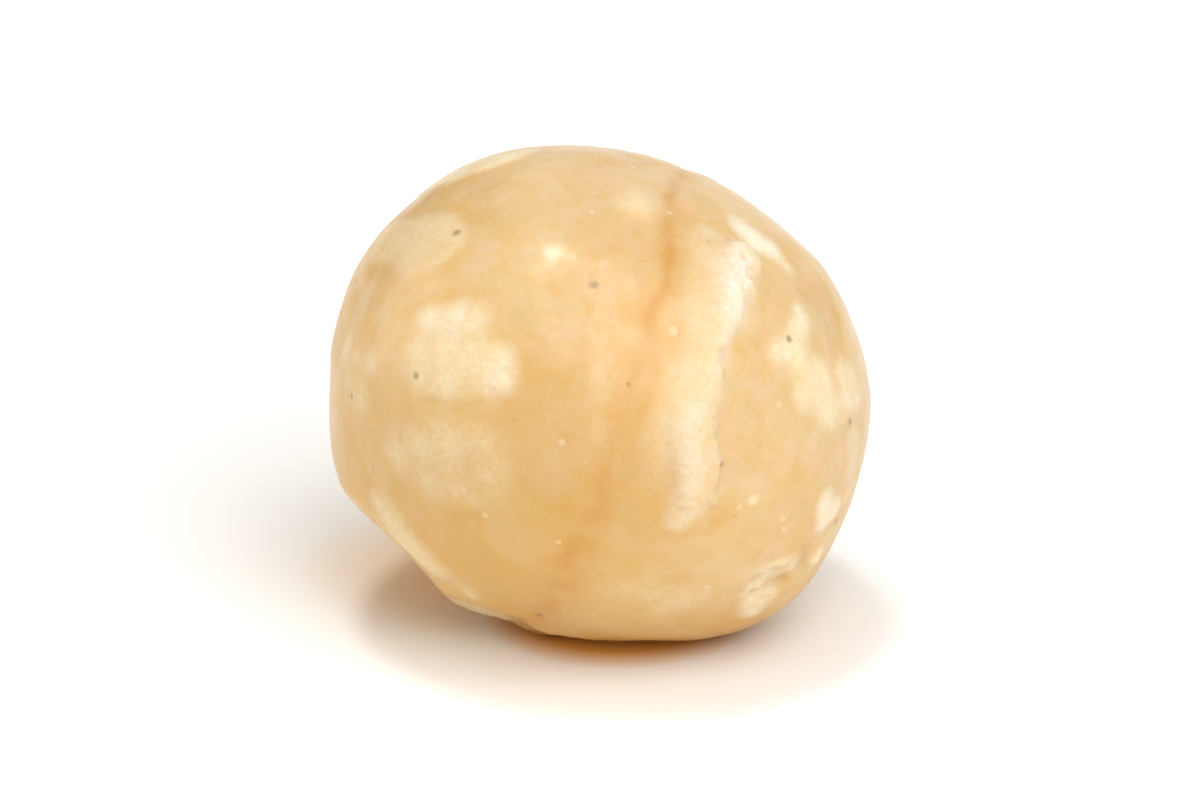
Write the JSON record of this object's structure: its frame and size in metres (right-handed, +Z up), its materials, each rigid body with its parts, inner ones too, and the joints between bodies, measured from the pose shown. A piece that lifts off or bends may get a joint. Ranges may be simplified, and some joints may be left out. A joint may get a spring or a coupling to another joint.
{
  "type": "shelled macadamia kernel",
  "caption": "Whole macadamia kernel out of its shell: a slightly flattened ball with a fine seam between its two seed halves, a raised scar and rubbed patches, resting on a small flat spot.",
  "frame": {"origin": "on the surface that the kernel rests on, under the middle of its bounding box", "axes": "+Z up; the side seen in the picture faces -Y; +X to the right of that view, along the kernel's widest extent"},
  "size_m": [0.0194, 0.0188, 0.0176],
  "materials": {
    "kernel": "waxy cream seed flesh, satin, rubbed matt and paler in patches"
  },
  "bodies": {
    "root": {"kernel": "kernel"}
  },
  "joints": []
}
